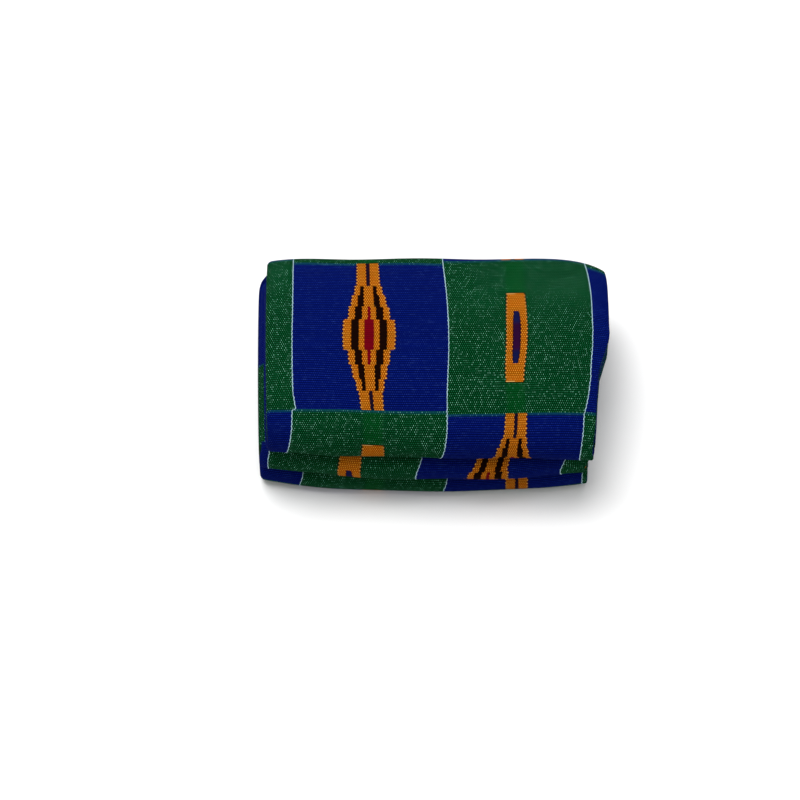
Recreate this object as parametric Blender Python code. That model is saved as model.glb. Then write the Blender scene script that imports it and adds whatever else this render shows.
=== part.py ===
"""A kente cloth, folded into a small thick bundle that lies flat.

The cloth is folded both ways. Its width is turned into three plies, which make one band. The band is
folded in half along its length and then laid back and forth in six double layers, with three soft lips
at the front and two at the back, under the fold of the two halves. Each way of folding is worked out as
a path of flat runs and half turns, and the cloth follows one path across and the other along. Last, the
square stack settles: its top crowns, its corners round off and its right side tapers.

Metres, +Z up, +Y to the back. The origin is under the middle of the bundle, on what it lies on.
"""
import math
from collections import namedtuple

import bmesh
import bpy

# The square stack before it settles, and the cloth in it.
STACK_WIDTH = 0.2280
STACK_DEPTH = 0.1530
STACK_HEIGHT = 0.0790
CLOTH_THICKNESS = 0.0016

# The plies of the width, numbered from the top, in the order in which the cloth runs through them.
PLY_ORDER = (1, 0, 2)
# The levels of the band, numbered from the top, in the order in which its length runs through them.
LEVEL_ORDER = (11, 8, 7, 4, 3, 0, 1, 2, 5, 6, 9, 10)

HALF_WIDTH = STACK_WIDTH / 2
HALF_DEPTH = STACK_DEPTH / 2
LEVEL_PITCH = STACK_HEIGHT / len(LEVEL_ORDER)
PLY_PITCH = LEVEL_PITCH / len(PLY_ORDER)
PLY_GAP = PLY_PITCH - CLOTH_THICKNESS

# A lip is where the cloth turns back: the level at its middle, its end of the run (1 or -1), how far it
# reaches from the middle of the stack, and how many layers thick it is.
Lip = namedtuple("Lip", "middle end reach layers")
SIDE_LIPS = (
    Lip(middle=0.5, end=1, reach=HALF_WIDTH - 0.0005, layers=2),
    Lip(middle=1.0, end=-1, reach=HALF_WIDTH, layers=3),
)
END_LIPS = (
    Lip(middle=0.5, end=1, reach=HALF_DEPTH - 0.0010, layers=2),
    Lip(middle=1.5, end=-1, reach=HALF_DEPTH - 0.0020, layers=4),
    Lip(middle=3.5, end=1, reach=HALF_DEPTH, layers=4),
    Lip(middle=5.5, end=-1, reach=HALF_DEPTH, layers=4),
    Lip(middle=7.5, end=1, reach=HALF_DEPTH - 0.0030, layers=4),
    Lip(middle=9.5, end=-1, reach=HALF_DEPTH - 0.0040, layers=4),
)
# Where the free edges lie, first and last along each path: the selvedges across, the hems along.
SELVEDGES = (-HALF_WIDTH + 0.0050, HALF_WIDTH - 0.0020)
HEMS = (HALF_DEPTH - 0.0080, HALF_DEPTH - 0.0050)

# How finely the cloth is divided: places along the flat runs, and steps in each half turn.
PLACES_ACROSS = (-0.102, -0.062, 0.062, 0.102)
PLACES_ALONG = (-0.058, -0.020, 0.020, 0.058)
TURN_STEPS_ACROSS = 4
TURN_STEPS_ALONG = 5

# How the stack settles. A fall is the share of its height that the top loses towards an edge.
FALL_TO_ENDS = 0.19
FALL_TO_LEFT = 0.02
FALL_TO_RIGHT = 0.06
SIDE_FALL_POWER = 6
# A draw is the share by which the outline is drawn in. The front corners are soft, the upper ones less.
FRONT_CORNER_DRAW = 0.120
FRONT_CORNER_POWER = 2.5
FRONT_DRAW_AT_RIGHT = 0.75
FRONT_DRAW_AT_TOP = 0.25
FRONT_TOP_START = 0.55
FRONT_TOP_END = 0.80
BACK_LEFT_DRAW = 0.020
BACK_RIGHT_DRAW = 0.090
BACK_CORNER_POWER = 10
END_DRAW_AT_LEFT = 0.004
END_DRAW_AT_RIGHT = 0.022
END_DRAW_POWER = 10
# The front lips lie further back the higher they are, and most at the left.
LIP_SET_BACK = 0.0066
LIP_SET_BACK_TO_RIGHT = 0.0033
LIP_SET_BACK_POWER = 1.3
LIP_DEPTH_POWER = 4
# The right side steps in at its middle and tapers to the front. Both sides spread to the back.
RIGHT_STEP = 0.060
RIGHT_STEP_START = -0.15
RIGHT_STEP_END = 0.35
RIGHT_TAPER = 0.020
RIGHT_TAPER_AT_TOP = 0.035
RIGHT_TAPER_START = 0.10
RIGHT_SPREAD = 0.030
RIGHT_SPREAD_START = 0.20
LEFT_SPREAD = 0.026
# The top layers are drawn in and sit to the right of the lower ones.
TOP_DRAW = 0.031
TOP_SHIFT = 0.0053
TOP_SHIFT_START = 0.50
TOP_SHIFT_END = 0.78

CLOTH_COLOUR = (0.012, 0.030, 0.250, 1.0)
CLOTH_ROUGHNESS = 0.80
SHARP_EDGE_DEGREES = 50

Station = namedtuple("Station", "place height normal_place normal_height")


def lip_between(lips, level, following, end):
    """Return the lip in which the path turns from one level to the following one."""
    middle = (level + following) / 2
    return next(lip for lip in lips if lip.middle == middle and lip.end == end)


def run_stations(start, stop, height, end, places):
    """Return the stations of a flat run from start to stop, which heads for the given end."""
    low, high = sorted((start, stop))
    inside = [place for place in places if low < place < high]
    inside.sort(reverse=end < 0)
    return [Station(place, height, 0.0, end) for place in (start, *inside, stop)]


def turn_stations(place, height, rise, end, steps):
    """Return the stations inside the half turn that starts at a run's end and rises to the next run."""
    radius = abs(rise) / 2
    upwards = math.copysign(1.0, rise)
    facing = -end * upwards
    stations = []
    for step in range(1, steps):
        angle = math.pi * step / steps
        outward = end * math.sin(angle)
        away = -upwards * math.cos(angle)
        turned_place = place + radius * outward
        turned_height = height + rise / 2 + radius * away
        stations.append(Station(turned_place, turned_height, facing * outward, facing * away))
    return stations


def fold_path(order, lips, pitch, free_edges, end, places, turn_steps):
    """Return the stations of a folded sheet's middle line, from one free edge to the other.

    The first run heads for the given end. Heights are measured from the middle of the stack, and a
    station's normal points to the left of the way the line runs.
    """
    middle_level = (len(order) - 1) / 2
    stations = []
    start, last_stop = free_edges
    for level, following in zip(order, order[1:]):
        height = (middle_level - level) * pitch
        lip = lip_between(lips, level, following, end)
        stop = end * (lip.reach - lip.layers / 2 * pitch)
        stations += run_stations(start, stop, height, end, places)
        stations += turn_stations(stop, height, (level - following) * pitch, end, turn_steps)
        start = stop
        end = -end
    last_height = (middle_level - order[-1]) * pitch
    return stations + run_stations(start, last_stop, last_height, end, places)


def smooth_step(value, start, stop):
    """Return 0 below start, 1 above stop, and a smooth rise between."""
    share = min(max((value - start) / (stop - start), 0.0), 1.0)
    return share * share * (3 - 2 * share)


def settle_depth(y, across, along, up):
    """Return the settled y of a point, from its shares of the stack's width, depth and height."""
    right = across > 0
    if along > 0:
        draw = BACK_RIGHT_DRAW if right else BACK_LEFT_DRAW
        return y * (1 - draw * abs(across) ** BACK_CORNER_POWER)
    draw = FRONT_CORNER_DRAW * (FRONT_DRAW_AT_RIGHT if right else 1.0)
    draw *= 1 - (1 - FRONT_DRAW_AT_TOP) * smooth_step(up, FRONT_TOP_START, FRONT_TOP_END)
    set_back = (LIP_SET_BACK - LIP_SET_BACK_TO_RIGHT * across) * max(up, 0.0) ** LIP_SET_BACK_POWER
    return y * (1 - draw * abs(across) ** FRONT_CORNER_POWER) + set_back * along ** LIP_DEPTH_POWER


def settle_width(x, across, along, up):
    """Return the settled x of a point, from its shares of the stack's width, depth and height."""
    ends = along ** END_DRAW_POWER
    if across > 0:
        taper = RIGHT_TAPER + RIGHT_TAPER_AT_TOP * up
        spread = RIGHT_SPREAD * max(along - RIGHT_SPREAD_START, 0.0)
        spread -= RIGHT_STEP * smooth_step(-along, RIGHT_STEP_START, RIGHT_STEP_END)
        spread -= taper * max(RIGHT_TAPER_START - along, 0.0) + END_DRAW_AT_RIGHT * ends
    else:
        spread = LEFT_SPREAD * along - END_DRAW_AT_LEFT * ends
    shift = TOP_SHIFT * smooth_step(up, TOP_SHIFT_START, TOP_SHIFT_END)
    return x * (1 + spread - TOP_DRAW * up ** 2) + shift


def settle(x, y, z):
    """Return where a point of the square stack lies in the settled bundle."""
    across = x / HALF_WIDTH
    along = y / HALF_DEPTH
    up = z / STACK_HEIGHT
    side_fall = FALL_TO_RIGHT if across > 0 else FALL_TO_LEFT
    settled_z = z * (1 - FALL_TO_ENDS * along ** 2 - side_fall * across ** SIDE_FALL_POWER)
    return settle_width(x, across, along, up), settle_depth(y, across, along, up), settled_z


def cloth_point(column, row, offset):
    """Return the point of the cloth at a station across and one along, offset to one of its faces."""
    x = column.place + offset * column.normal_place
    lift = column.height + offset * column.normal_height
    y = row.place + lift * row.normal_place
    z = row.height + lift * row.normal_height + (STACK_HEIGHT - PLY_GAP) / 2
    return settle(x, y, z)


def close_edges(bm, first_face, second_face):
    """Join the two faces of the cloth along its hems and selvedges."""
    last_row = len(first_face) - 1
    last_column = len(first_face[0]) - 1
    rim = [(0, column) for column in range(last_column)]
    rim += [(row, last_column) for row in range(last_row)]
    rim += [(last_row, column) for column in range(last_column, 0, -1)]
    rim += [(row, 0) for row in range(last_row, 0, -1)]
    for (row, column), (next_row, next_column) in zip(rim, rim[1:] + rim[:1]):
        bm.faces.new((
            first_face[row][column],
            first_face[next_row][next_column],
            second_face[next_row][next_column],
            second_face[row][column],
        ))


def folded_cloth():
    """Return the mesh of the whole cloth, with its origin under the middle of the bundle."""
    across = fold_path(PLY_ORDER, SIDE_LIPS, PLY_PITCH, SELVEDGES, 1, PLACES_ACROSS, TURN_STEPS_ACROSS)
    along = fold_path(LEVEL_ORDER, END_LIPS, LEVEL_PITCH, HEMS, -1, PLACES_ALONG, TURN_STEPS_ALONG)
    bm = bmesh.new()
    cloth_faces = []
    for offset in (-CLOTH_THICKNESS / 2, CLOTH_THICKNESS / 2):
        grid = [[bm.verts.new(cloth_point(column, row, offset)) for column in across] for row in along]
        for line, next_line in zip(grid, grid[1:]):
            for column in range(len(across) - 1):
                bm.faces.new((line[column], line[column + 1], next_line[column + 1], next_line[column]))
        cloth_faces.append(grid)
    close_edges(bm, *cloth_faces)
    bmesh.ops.recalc_face_normals(bm, faces=bm.faces)

    middle_x = (min(vert.co.x for vert in bm.verts) + max(vert.co.x for vert in bm.verts)) / 2
    middle_y = (min(vert.co.y for vert in bm.verts) + max(vert.co.y for vert in bm.verts)) / 2
    bmesh.ops.translate(bm, verts=bm.verts, vec=(-middle_x, -middle_y, 0.0))
    mesh = bpy.data.meshes.new("cloth")
    bm.to_mesh(mesh)
    bm.free()
    mesh.shade_smooth()
    mesh.set_sharp_from_angle(angle=math.radians(SHARP_EDGE_DEGREES))
    return mesh


def woven_cotton():
    """Return the material of the cloth."""
    material = bpy.data.materials.new("woven cotton")
    material.use_nodes = True
    shader = material.node_tree.nodes["Principled BSDF"]
    shader.inputs["Base Color"].default_value = CLOTH_COLOUR
    shader.inputs["Roughness"].default_value = CLOTH_ROUGHNESS
    shader.inputs["Metallic"].default_value = 0.0
    return material


def main():
    """Model the folded cloth in an empty scene."""
    for item in list(bpy.data.objects):
        bpy.data.objects.remove(item)
    mesh = folded_cloth()
    mesh.materials.append(woven_cotton())
    cloth = bpy.data.objects.new("cloth", mesh)
    bpy.context.scene.collection.objects.link(cloth)


main()
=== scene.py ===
"""The looks of a folded kente cloth: the folded sheet with its weave, and the stitches between its strips.

The cloth is woven in narrow strips, sewn edge to edge. Along each strip blue blocks with a stepped
spindle and green blocks with an upright bar take turns, and neighbouring strips are set one block apart,
so the whole makes a chequered ground. It is folded into six plies across and twelve levels along, in the
shape of the frame's solid.

Metres, +Z up, +Y to the back, in the place of the frame. Inside the shader, lengths are in millimetres.
"""
from __future__ import annotations

import logging
import math
from dataclasses import dataclass
from enum import IntEnum
from typing import Any, Iterable, NamedTuple

import bpy
import numpy as np
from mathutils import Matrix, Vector

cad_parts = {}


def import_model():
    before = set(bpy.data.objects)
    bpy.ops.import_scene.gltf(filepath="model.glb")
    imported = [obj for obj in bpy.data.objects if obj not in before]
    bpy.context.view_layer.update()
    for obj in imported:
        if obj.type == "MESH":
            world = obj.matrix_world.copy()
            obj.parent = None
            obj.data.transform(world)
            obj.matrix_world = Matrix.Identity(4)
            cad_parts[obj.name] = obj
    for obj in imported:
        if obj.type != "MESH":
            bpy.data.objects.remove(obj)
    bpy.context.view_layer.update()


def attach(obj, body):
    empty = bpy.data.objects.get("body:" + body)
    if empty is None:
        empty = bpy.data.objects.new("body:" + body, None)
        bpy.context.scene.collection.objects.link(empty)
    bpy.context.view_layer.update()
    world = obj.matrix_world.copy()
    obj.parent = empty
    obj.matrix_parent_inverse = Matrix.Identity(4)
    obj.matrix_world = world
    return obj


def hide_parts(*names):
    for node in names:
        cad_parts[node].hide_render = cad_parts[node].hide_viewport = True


LOG = logging.getLogger("kente cloth")
MM = 0.001
BODY = "root"
NODE = "cloth"

Colour = tuple[float, float, float, float]
Triple = tuple[float, float, float]
Pair = tuple[float, float]


def colour(red: float, green: float, blue: float) -> Colour:
    """Return an opaque colour from its linear parts."""
    return (red, green, blue, 1.0)


# Shader maths


class Value:
    """A socket of a material's node tree, on which Python's operators add Math nodes."""

    def __init__(self, tree: MaterialTree, socket: bpy.types.NodeSocket) -> None:
        """Wrap a socket of a tree."""
        self.tree = tree
        self.socket = socket

    def math(self, operation: str, *inputs: Value | float) -> Value:
        """Return the result of a Math node with these inputs, in order."""
        return self.tree.node("ShaderNodeMath", {"operation": operation}, dict(enumerate(inputs)))

    def __add__(self, other: Value | float) -> Value:
        """Return self + other."""
        return self.math("ADD", self, other)

    def __sub__(self, other: Value | float) -> Value:
        """Return self - other."""
        return self.math("SUBTRACT", self, other)

    def __rsub__(self, other: float) -> Value:
        """Return other - self."""
        return self.math("SUBTRACT", other, self)

    def __mul__(self, other: Value | float) -> Value:
        """Return self * other."""
        return self.math("MULTIPLY", self, other)

    def __truediv__(self, other: Value | float) -> Value:
        """Return self / other."""
        return self.math("DIVIDE", self, other)

    def __mod__(self, other: float) -> Value:
        """Return what is left of self over whole multiples of other, never below 0."""
        return self.math("FLOORED_MODULO", self, other)

    __radd__ = __add__
    __rmul__ = __mul__

    def floor(self) -> Value:
        """Return the whole number below."""
        return self.math("FLOOR", self)

    def size(self) -> Value:
        """Return the value without its sign."""
        return self.math("ABSOLUTE", self)

    def wave(self, pitch: float) -> Value:
        """Return a cosine wave of this pitch, from -1 to 1."""
        return self.math("COSINE", self * (2 * math.pi / pitch))

    def above(self, edge: Value | float) -> Value:
        """Return 1 where the value is above the edge, and otherwise 0."""
        return self.math("GREATER_THAN", self, edge)

    def below(self, edge: Value | float) -> Value:
        """Return 1 where the value is below the edge, and otherwise 0."""
        return self.math("LESS_THAN", self, edge)

    def ramp(self, low: float, high: float) -> Value:
        """Return 0 at low, 1 at high, and a smooth rise between."""
        places = {"Value": self, "From Min": low, "From Max": high}
        return self.tree.node("ShaderNodeMapRange", {"interpolation_type": "SMOOTHSTEP"}, places)

    def between(self, first: Value | float, last: Value | float) -> Value:
        """Return first where the value is 0, last where it is 1, and a straight change between."""
        return self * (last - first) + first

    def output(self, name: str) -> Value:
        """Return another output of the same node."""
        return Value(self.tree, self.socket.node.outputs[name])

    def parts(self) -> tuple[Value, Value, Value]:
        """Return the three parts of a vector or a colour."""
        first = self.tree.node("ShaderNodeSeparateXYZ", inputs={0: self})
        return first, first.output("Y"), first.output("Z")


class MaterialTree:
    """A new material and its node tree."""

    def __init__(self, name: str) -> None:
        """Make a material with a Principled BSDF.

        Args:
            name: The material's name.
        """
        self.material = bpy.data.materials.new(name)
        self.material.use_nodes = True
        self.nodes = self.material.node_tree.nodes
        self.links = self.material.node_tree.links
        self.shader = self.nodes["Principled BSDF"]

    def node(
        self,
        kind: str,
        settings: dict[str, Any] | None = None,
        inputs: dict[int | str, Any] | None = None,
    ) -> Value:
        """Add any node.

        Args:
            kind: The node's type.
            settings: Its properties, set first. "stops" holds a ramp's (place, colour) pairs.
            inputs: Values or links of its sockets, by number or name.

        Returns:
            The node's first output that is in use.
        """
        made = self.nodes.new(kind)
        for name, setting in (settings or {}).items():
            if name == "stops":
                self._set_stops(made.color_ramp, setting)
            else:
                setattr(made, name, setting)
        for name, given in (inputs or {}).items():
            self._feed(made.inputs[name], given)
        return Value(self, next(socket for socket in made.outputs if socket.enabled))

    def mark(self, name: str) -> Value:
        """Return the vector that the mesh holds for each point under this name."""
        return self.node("ShaderNodeAttribute", {"attribute_name": name}).output("Vector")

    def vector(self, *parts: Value) -> Value:
        """Return a vector of two or three parts."""
        return self.node("ShaderNodeCombineXYZ", inputs=dict(enumerate(parts)))

    def noise(self, place: Value, scale: float, detail: float) -> Value:
        """Return a soft noise from 0 to 1."""
        return self.node("ShaderNodeTexNoise", inputs={"Vector": place, "Scale": scale, "Detail": detail})

    def chance(self, *parts: Value) -> Value:
        """Return a number from 0 to 1 that jumps wherever one of the parts changes."""
        return self.node("ShaderNodeTexWhiteNoise", inputs={"Vector": self.vector(*parts)})

    def mix(self, share: Value | float, first: Value | Colour, second: Value | Colour) -> Value:
        """Return the first colour, turned into the second by this share."""
        return self.node("ShaderNodeMix", {"data_type": "RGBA"}, {0: share, 6: first, 7: second})

    def scaled(self, shade: Value | Colour, share: Value | float) -> Value:
        """Return a colour made lighter or darker."""
        return self.node("ShaderNodeVectorMath", {"operation": "SCALE"}, {0: shade, "Scale": share})

    def finish(self, inputs: dict[str, Value | float]) -> bpy.types.Material:
        """Feed the shader.

        Args:
            inputs: Values or links of the shader's sockets, by name.

        Returns:
            The material.
        """
        for name, given in inputs.items():
            self._feed(self.shader.inputs[name], given)
        return self.material

    def _set_stops(self, ramp: bpy.types.ColorRamp, stops: Iterable[tuple[float, Colour]]) -> None:
        """Give a ramp its stops, with straight changes between them.

        Args:
            ramp: A new ramp, which has a stop at either end.
            stops: The place and colour of each stop, in order.
        """
        ramp.interpolation = "LINEAR"
        for number, (place, shade) in enumerate(stops):
            stop = ramp.elements[number] if number < 1 else ramp.elements.new(place)
            stop.position = place
            stop.color = shade
        ramp.elements.remove(ramp.elements[-1])

    def _feed(self, socket: bpy.types.NodeSocket, given: Any) -> None:
        """Link a socket to a value, or set what it holds.

        Args:
            socket: An input of a node.
            given: A value, a number or a colour.
        """
        if isinstance(given, Value):
            self.links.new(given.socket, socket)
        elif isinstance(given, tuple) and len(socket.default_value) == 3:
            socket.default_value = given[:3]
        else:
            socket.default_value = given


# The pattern and the finishes


class SpindlePoint(NamedTuple):
    """The spindle at a place along it. All sizes are from the motif's middle, in mm."""

    place: float
    half_width: float
    bar_from: float
    bar_to: float
    red: float
    gap: float


@dataclass(frozen=True)
class StripPattern:
    """The chart of a strip's two blocks, in mm. A block's places are counted from its back end."""

    block: float = 112.0
    even_width: float = 100.0
    odd_width: float = 93.5
    even_skew: float = 0.9
    odd_skew: float = -2.4
    spindle_middle: float = 58.4
    spindle: tuple[SpindlePoint, ...] = (
        SpindlePoint(0.0, 16.8, 6.6, 11.5, 3.1, 0.0),
        SpindlePoint(11.5, 16.3, 6.6, 11.4, 3.0, 0.0),
        SpindlePoint(11.6, 13.4, 4.4, 9.2, 1.1, 0.0),
        SpindlePoint(22.2, 12.8, 4.4, 9.1, 1.0, 0.0),
        SpindlePoint(22.3, 11.5, 3.2, 7.3, 0.0, 0.0),
        SpindlePoint(32.3, 10.5, 3.1, 7.0, 0.0, 0.0),
        SpindlePoint(32.4, 9.2, 3.0, 5.6, 0.0, 0.0),
        SpindlePoint(40.4, 8.6, 3.0, 5.3, 0.0, 0.0),
        SpindlePoint(40.5, 7.6, 0.0, 0.0, 0.0, 1.15),
        SpindlePoint(58.5, 7.1, 0.0, 0.0, 0.0, 1.25),
    )
    upright_from: float = 24.0
    upright_to: float = 90.5
    even_upright_half_width: float = 6.7
    odd_upright_half_width: float = 5.7
    upright_barrel: float = 1.0
    lens_from: float = 38.9
    lens_to: float = 78.0
    lens_half_width: float = 1.7
    lens_barrel: float = 0.95
    smooth_half_width: float = 6.6


class Tone(NamedTuple):
    """How light a colour is, and the painted light and shade that picks, beads and streaks give it."""

    level: float
    weft: float = 0.0
    bead: float = 0.0
    streak: float = 0.0


@dataclass(frozen=True)
class Yarns:
    """The threads at a point of the weave.

    The weft is 1 on the middle of a pick and -1 between picks. The bead is 1 where a pick passes over a
    warp end, and the side is 1 and -1 on alternate picks, whose beads are half a bead apart. The streak is
    above 0 on short stretches of a pick that are painted as if they catch the light. The chance is a
    number from 0 to 1 for each bead, and the pick tone is one for each pick.
    """

    tree: MaterialTree
    weft: Value
    bead: Value
    side: Value
    chance: Value
    pick_tone: Value
    streak: Value

    def lit(self, shade: Value | Colour, tone: Tone) -> Value:
        """Return a colour with its tone's painted light and shade: lighter on the thread crests, darker
        between.
        """
        light = self.weft * tone.weft + self.bead * tone.bead + self.streak * tone.streak + tone.level
        return self.tree.scaled(shade, light)


@dataclass(frozen=True)
class WeavePoint:
    """A point of the weave: its threads, and its place in its block of the chart.

    The offset is from the motif's middle, and the toothed one moves to and fro with the longer and shorter
    picks. The step is from the block's back end. Odd and green are 1 in odd strips and in green blocks.
    """

    yarns: Yarns
    offset: Value
    toothed: Value
    step: Value
    odd: Value
    green: Value


@dataclass(frozen=True)
class KenteWeave:
    """The finish of the cloth, in mm and linear colours.

    After the colours come the threads, then the tones and shares of the blue ground, the green one,
    the teal joint and the orange, then the motifs' edges, and last what goes for the whole cloth. The yarn
    colours come with painted light: sheen on the blue and teal beads, glints on the green's lurex floats,
    amber highlights and ginger shade on the orange, and tones that are lighter on the thread crests and
    darker between the picks. A pair that is named for beads or picks is where on them the effect starts
    and where it is full.
    """

    pattern: StripPattern = StripPattern()
    blue: Colour = colour(0.0002, 0.0034, 0.0720)
    # The bright bluish bead colour is painted sheen on the crests of the blue's threads.
    blue_bead_sheen: Colour = colour(0.0200, 0.0480, 0.2400)
    green: Colour = colour(0.0001, 0.0215, 0.0038)
    smooth_green: Colour = colour(0.0003, 0.0340, 0.0050)
    # Pale green and silver: the green's lurex floats, partly real pale thread, partly a painted glint,
    # brightest in silver.
    pale_green: Colour = colour(0.0200, 0.2500, 0.1250)
    silver_glint: Colour = colour(0.2600, 0.7200, 0.5000)
    orange: Colour = colour(0.3200, 0.0850, 0.0008)
    red_orange: Colour = colour(0.3300, 0.0600, 0.0008)
    # Ginger is painted shade, a darker red-brown between the orange's beads.
    ginger_shade: Colour = colour(0.0650, 0.0090, 0.0005)
    # Amber is a painted highlight on the crests of the orange's beads.
    amber_highlight: Colour = colour(0.5000, 0.2500, 0.0300)
    tip: Colour = colour(0.5800, 0.3600, 0.1200)
    red: Colour = colour(0.1000, 0.0005, 0.0042)
    black: Colour = colour(0.0050, 0.0012, 0.0006)
    gap: Colour = colour(0.0070, 0.0030, 0.0100)
    violet: Colour = colour(0.0175, 0.0021, 0.0210)
    navy: Colour = colour(0.0048, 0.0057, 0.0410)
    teal: Colour = colour(0.0015, 0.0360, 0.0560)
    # The bright teal bead colour is painted sheen on the joint's bead crests.
    teal_bead_sheen: Colour = colour(0.1400, 0.4000, 0.4000)
    seam: Colour = colour(0.1200, 0.2300, 0.2900)

    weft_pitch: float = 1.53
    warp_pitch: float = 1.44
    strip_phase: float = 0.61
    pick_wander: float = 1.6
    wander_scale: float = 0.022
    stagger: float = 0.28
    inner_stagger: float = 0.17
    open_spread: Pair = (0.25, 0.70)
    streak_scales: Triple = (0.28, 5.7, 3.1)
    streak_noise: Pair = (0.50, 0.75)
    streak_picks: Pair = (-0.2, 0.9)

    # The tones' weft, bead and streak parts paint light on the thread crests and shade between the picks.
    blue_tone: Tone = Tone(0.98, weft=0.55, bead=0.32)
    sheen_dot_beads: Pair = (0.45, 1.0)
    sheen_dot_share: Pair = (0.12, 0.62)
    sheen_streak_share: float = 0.26
    green_tone: Tone = Tone(1.02, weft=0.24, bead=0.66, streak=0.25)
    sparkle_beads: Pair = (0.50, 1.0)
    sparkle_share: Pair = (0.48, 1.0)
    smooth_sparkle: float = 0.40
    smooth_fade: Pair = (-2.0, 1.2)
    teal_share: float = 0.75
    teal_reach: float = 2.5
    teal_fade: float = 1.8
    orange_tone: Tone = Tone(1.0, weft=0.38)
    red_orange_share: float = 0.4
    ginger_shade_beads: Pair = (0.0, -0.9)
    ginger_shade_share: float = 0.85
    amber_highlight_beads: Pair = (0.2, 1.0)
    amber_highlight_share: Pair = (0.35, 0.95)
    red_tone: Tone = Tone(1.0, weft=0.25)

    outline: float = 0.65
    outline_share: float = 0.75
    lens_outline_share: float = 0.7
    lens_change: Pair = (0.40, 0.64)
    tip_reach: float = 0.9
    tip_picks: Pair = (-0.2, 0.7)
    tip_share: float = 0.65
    chart_margin: float = 1.05

    seam_half_width: float = 0.22
    plain_end: float = 6.0
    cloth_length: float = 1735.0
    blotch_scale: float = 0.035
    blotch_tone: float = 0.20
    pick_tone: float = 0.12
    least_tone: float = 0.84
    relief: float = 0.22
    weft_height: float = 0.5
    bead_height: float = 0.35
    roughness: float = 0.80
    sparkle_polish: float = 0.20
    gloss: float = 0.01

    def material(self) -> bpy.types.Material:
        """Build the woven material from what the mesh tells of each point's place.

        Returns:
            The material.
        """
        tree = MaterialTree("strip-woven kente")
        pattern = self.pattern
        place = tree.mark(WEAVE_PLACE)
        strip, across, length = place.parts()
        even_place, odd_place, spread = tree.mark(BLOCK_PLACE).parts()
        even_shift, odd_shift, _ = tree.mark(MOTIF_SHIFT).parts()

        index = strip.floor()
        odd = index % 2
        beside = strip - index - 0.5
        skew = beside * odd.between(pattern.even_skew, pattern.odd_skew)
        along = odd.between(even_place, odd_place) - skew
        block = (along / pattern.block).floor()
        yarns = self._yarns(tree, place, index, across, length + skew, spread.ramp(*self.open_spread))
        width = odd.between(pattern.even_width, pattern.odd_width)
        offset = beside * width - odd.between(even_shift, odd_shift)
        point = WeavePoint(
            yarns=yarns,
            offset=offset + yarns.side * self.inner_stagger,
            toothed=offset + yarns.side * self.stagger,
            step=along - block * pattern.block,
            odd=odd,
            green=(index + block) % 2,
        )

        ground, sparkle = self._ground(point)
        cloth = tree.mix(point.green, self._spindle(ground, point), self._upright(ground, point))
        from_middle = (length - self.cloth_length / 2).size()
        cloth = tree.mix(from_middle.above(self.cloth_length / 2 - self.plain_end), cloth, ground)
        from_seam = (strip - (strip + 0.5).floor()).size() * pattern.even_width
        cloth = tree.mix(from_seam.below(self.seam_half_width), cloth, self.seam)
        blotches = tree.noise(place, self.blotch_scale, 2.0)
        light = blotches * self.blotch_tone + yarns.pick_tone * self.pick_tone + self.least_tone

        height = yarns.weft * self.weft_height + yarns.bead * self.bead_height
        relief = {"Strength": 1.0, "Distance": self.relief * MM, "Height": height}
        return tree.finish(
            {
                "Base Color": tree.scaled(cloth, light),
                "Roughness": self.roughness - sparkle * self.sparkle_polish,
                "Normal": tree.node("ShaderNodeBump", inputs=relief),
                "Metallic": 0.0,
                "Specular IOR Level": self.gloss,
            }
        )

    def _yarns(
        self, tree: MaterialTree, place: Value, index: Value, across: Value, length: Value, relief: Value
    ) -> Yarns:
        """Find the threads at each point, from its place in the cloth.

        Args:
            tree: The material's tree.
            place: The strip's number, the place across and the place along.
            index: The strip's whole number.
            across: The place across the cloth.
            length: The place along it.
            relief: 0 where the inside of a tight fold crushes the threads, 1 where they lie open.

        Returns:
            The threads.
        """
        wander = tree.noise(place, self.wander_scale, 1.0)
        length = length + index * self.strip_phase + wander * self.pick_wander
        swing = length.wave(2 * self.weft_pitch)
        pick = (length / self.weft_pitch + 0.5).floor()
        end = (across / self.warp_pitch + pick * 0.5 + 0.5).floor()
        weft = length.wave(self.weft_pitch) * relief
        stretched = (part * scale for part, scale in zip((across, pick, index), self.streak_scales))
        streak = tree.noise(tree.vector(*stretched), 1.0, 2.0).ramp(*self.streak_noise)
        return Yarns(
            tree=tree,
            weft=weft,
            bead=across.wave(self.warp_pitch) * swing * relief,
            side=swing.above(0.0).between(-1.0, 1.0),
            chance=tree.chance(end, pick, index),
            pick_tone=tree.chance(pick, index),
            streak=streak * weft.ramp(*self.streak_picks),
        )

    def _ground(self, point: WeavePoint) -> tuple[Value, Value]:
        """Colour the ground between the motifs, with the teal joint at each block's back end.

        Args:
            point: The point of the weave.

        Returns:
            The colour, and how much each place sparkles.
        """
        yarns = point.yarns
        tree = yarns.tree
        edge = self.pattern.smooth_half_width
        # Painted sheen on the blue: its brighter beads and streaks stand in for light on the thread
        # crests.
        sheen_dot = yarns.bead.ramp(*self.sheen_dot_beads)
        bright = yarns.chance * yarns.chance * yarns.chance
        blue = yarns.lit(self.blue, self.blue_tone)
        blue_sheen = sheen_dot * bright.between(*self.sheen_dot_share) + yarns.streak * self.sheen_streak_share
        blue = tree.mix(blue_sheen, blue, self.blue_bead_sheen)

        smooth = 1.0 - point.offset.size().ramp(*(edge + fade for fade in self.smooth_fade))
        # Sparkle: the lurex floats of the green, made pale by a painted glint; they are also less rough.
        sparkle = yarns.bead.ramp(*self.sparkle_beads) * bright.between(*self.sparkle_share)
        sparkle = sparkle * smooth.between(1.0, self.smooth_sparkle)
        green = yarns.lit(tree.mix(smooth, self.green, self.smooth_green), self.green_tone)
        green = tree.mix(sparkle, green, tree.mix(bright, self.pale_green, self.silver_glint))

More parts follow.
